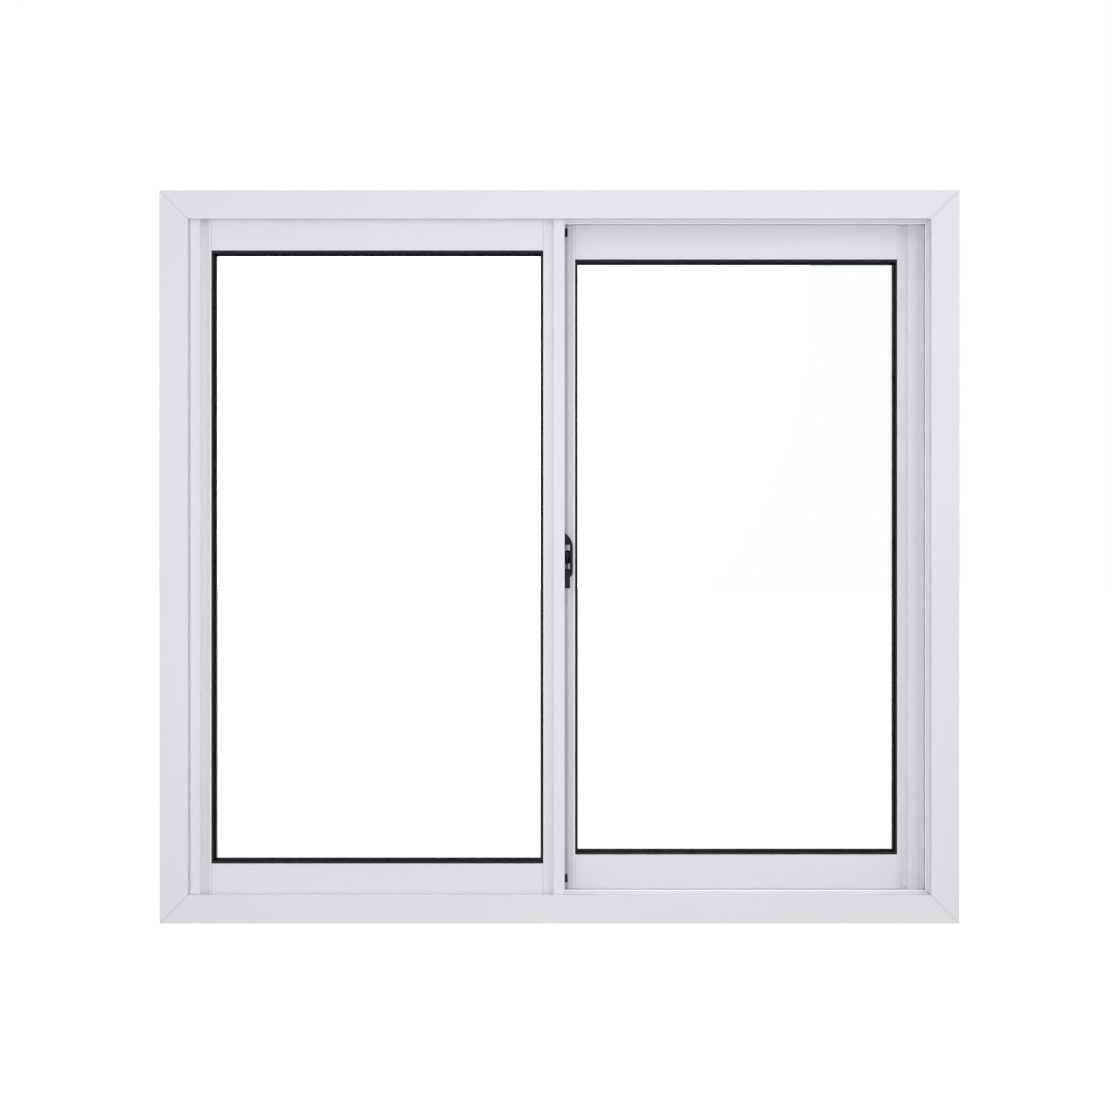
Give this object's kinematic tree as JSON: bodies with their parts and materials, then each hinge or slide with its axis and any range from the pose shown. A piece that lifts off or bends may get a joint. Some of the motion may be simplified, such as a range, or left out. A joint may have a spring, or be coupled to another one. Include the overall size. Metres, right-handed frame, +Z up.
{
  "type": "sliding window",
  "caption": "Horizontal sliding window in white coated aluminium: mitred frame with inside casing, glazed leaves in black seals, hooked meeting stiles and a black edge latch",
  "frame": {"origin": "middle of the flat underside of the sill, midway between the two tracks", "axes": "+X along the sill to the right as seen from the room, +Y from the room to the outside, +Z up"},
  "size_m": [1.2, 0.0674, 1.1],
  "materials": {
    "white_coating": "satin",
    "black_seal": "matte",
    "clear_glass": "gloss",
    "black_plastic": "matte",
    "grey_plastic": "matte",
    "roller_nylon": "satin",
    "grey_pile": "matte",
    "keeper_steel": "satin"
  },
  "bodies": {
    "root": {"casing_head": "white_coating", "casing_jamb_left": "white_coating", "casing_jamb_right": "white_coating", "casing_sill": "white_coating", "frame_head": "white_coating", "frame_jamb_left": "white_coating", "frame_jamb_right": "white_coating", "frame_sill": "white_coating", "latch_bow": "black_plastic", "latch_keeper": "keeper_steel", "latch_slider": "black_plastic", "left_bottom_rail": "white_coating", "left_glass_pane": "clear_glass", "left_glazing_seal": "black_seal", "left_hook_pads": "black_plastic", "left_interlock": "grey_plastic", "left_meeting_stile": "white_coating", "left_pile_strip": "grey_pile", "left_roller_housings": "black_plastic", "left_rollers": "roller_nylon", "left_side_stile": "white_coating", "left_top_guides": "black_plastic", "left_top_rail": "white_coating", "right_bottom_rail": "white_coating", "right_glass_pane": "clear_glass", "right_glazing_seal": "black_seal", "right_hook_pads": "black_plastic", "right_interlock": "grey_plastic", "right_meeting_stile": "white_coating", "right_pile_strip": "grey_pile", "right_roller_housings": "black_plastic", "right_rollers": "roller_nylon", "right_side_stile": "white_coating", "right_top_guides": "black_plastic", "right_top_rail": "white_coating"}
  },
  "joints": []
}
